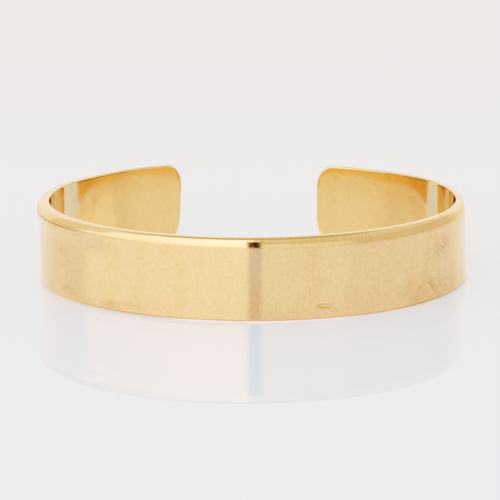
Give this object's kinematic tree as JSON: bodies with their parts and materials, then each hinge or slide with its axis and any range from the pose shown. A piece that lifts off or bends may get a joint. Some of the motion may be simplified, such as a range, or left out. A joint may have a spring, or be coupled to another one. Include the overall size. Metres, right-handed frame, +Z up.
{
  "type": "cuff bracelet",
  "caption": "Plain open cuff bracelet of polished brass: a flat strip with rounded ends and a filed upper edge, bent round an oval with a gap at the back.",
  "frame": {"origin": "on the surface the cuff lies on, under the middle of its bounding box", "axes": "+X across the widest line of the oval, -Y towards the front of the cuff and +Y towards the gap, +Z up, along the width of the strip"},
  "size_m": [0.064, 0.0494, 0.012],
  "materials": {
    "brass": "polished, with fine scratches and light tarnish"
  },
  "bodies": {
    "root": {"cuff_band": "brass"}
  },
  "joints": []
}
